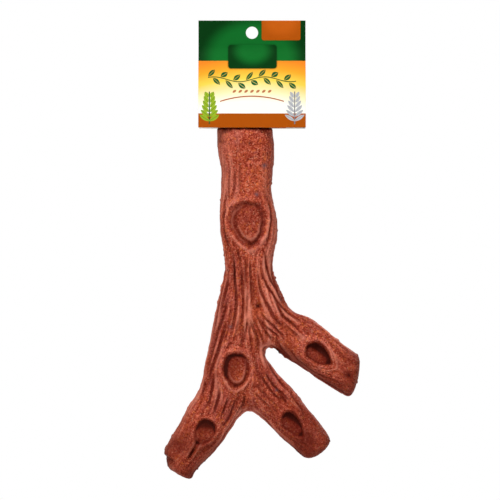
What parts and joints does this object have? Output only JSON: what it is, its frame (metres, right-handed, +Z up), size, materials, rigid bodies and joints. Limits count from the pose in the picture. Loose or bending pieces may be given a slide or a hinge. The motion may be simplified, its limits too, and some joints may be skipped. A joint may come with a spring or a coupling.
{
  "type": "bird perch",
  "caption": "Forked branch perch of pressed chewing mass with grooved bark and hollow knots, hung from a stud with washers and a wing nut under a folded shop card.",
  "frame": {"origin": "the bolt's axis in the branch's flat butt face, where the perch is pulled against the cage", "axes": "+Z up along the bolt, away from the branch; the front with the knots faces -Y; +X to the right, where the single branch points"},
  "size_m": [0.127, 0.0318, 0.2979],
  "materials": {
    "chew_mass": "matte",
    "zinc_plate": "satin",
    "printed_board": "satin"
  },
  "bodies": {
    "perch": {"perch_body": "chew_mass", "hanger_bolt": "zinc_plate", "inner_washer": "zinc_plate"},
    "sliding_washer": {"outer_washer": "zinc_plate"},
    "nut": {"wing_nut": "zinc_plate"},
    "card": {"header_card": "printed_board"}
  },
  "joints": [
    {"name": "nut_travel", "type": "slide", "parent": "perch", "child": "sliding_washer", "axis": [0, 0, 1], "range_m": [0, 0.0127]},
    {"name": "nut_spin", "type": "hinge", "parent": "sliding_washer", "child": "nut", "pos_m": [0, 0, 0], "axis": [0, 0, 1], "range_deg": [0, 3600]},
    {"name": "card_swivel", "type": "hinge", "parent": "perch", "child": "card", "pos_m": [0, 0, 0], "axis": [0, 0, 1], "continuous": true}
  ],
  "couplings": [
    {"joint": "nut_travel", "follows": "nut_spin", "m_per_rad": 0.00020212}
  ]
}
